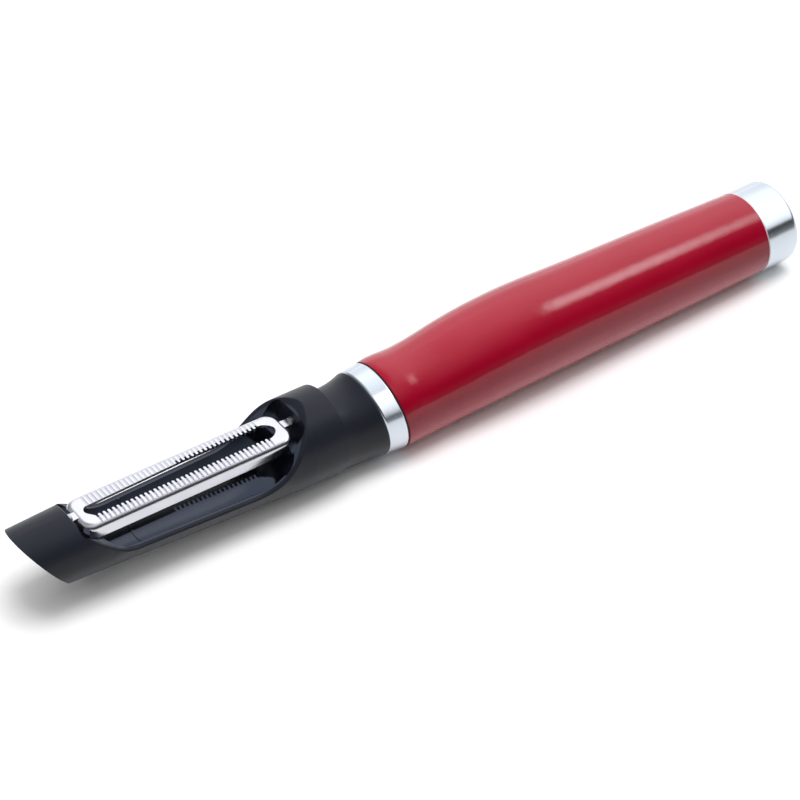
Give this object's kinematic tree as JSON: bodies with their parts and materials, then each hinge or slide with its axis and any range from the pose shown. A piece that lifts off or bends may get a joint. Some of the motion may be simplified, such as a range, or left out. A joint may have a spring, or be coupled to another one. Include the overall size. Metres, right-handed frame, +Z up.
{
  "type": "swivel peeler",
  "caption": "Hand-held peeler: a slotted, serrated swivel blade in an open black head with a slanted corer tip, a metal ring, a round red handle and a metal end cap.",
  "frame": {"origin": "centre of the bounding box's base, on the floor the tool lies on", "axes": "+X from the corer tip to the end cap, +Z up on the blade's side"},
  "size_m": [0.2098, 0.0236, 0.0241],
  "materials": {
    "black_plastic": "satin moulded, glossy inside the trough",
    "blade_steel": "fine satin",
    "pin_steel": "turned",
    "seal_black": "matte",
    "seal_pale": "matte",
    "satin_metal": "satin",
    "red_gloss": "high gloss",
    "core_plastic": "as moulded",
    "tang_steel": "as rolled"
  },
  "bodies": {
    "handle": {"head_shell": "black_plastic", "front_seal": "seal_black", "ferrule": "satin_metal", "rear_seal": "seal_black", "handle_sleeve": "red_gloss", "handle_core": "core_plastic", "tang": "tang_steel", "end_cap": "satin_metal", "cap_plug": "core_plastic", "cap_seal": "seal_pale"},
    "swivel_blade": {"blade": "blade_steel", "front_pivot_pin": "pin_steel", "rear_pivot_pin": "pin_steel"}
  },
  "joints": [
    {"name": "blade_swivel", "type": "hinge", "parent": "handle", "child": "swivel_blade", "pos_m": [-0.06446, 0, 0.01939], "axis": [0.9993, 0, -0.0366], "range_deg": [-32, 32]}
  ]
}
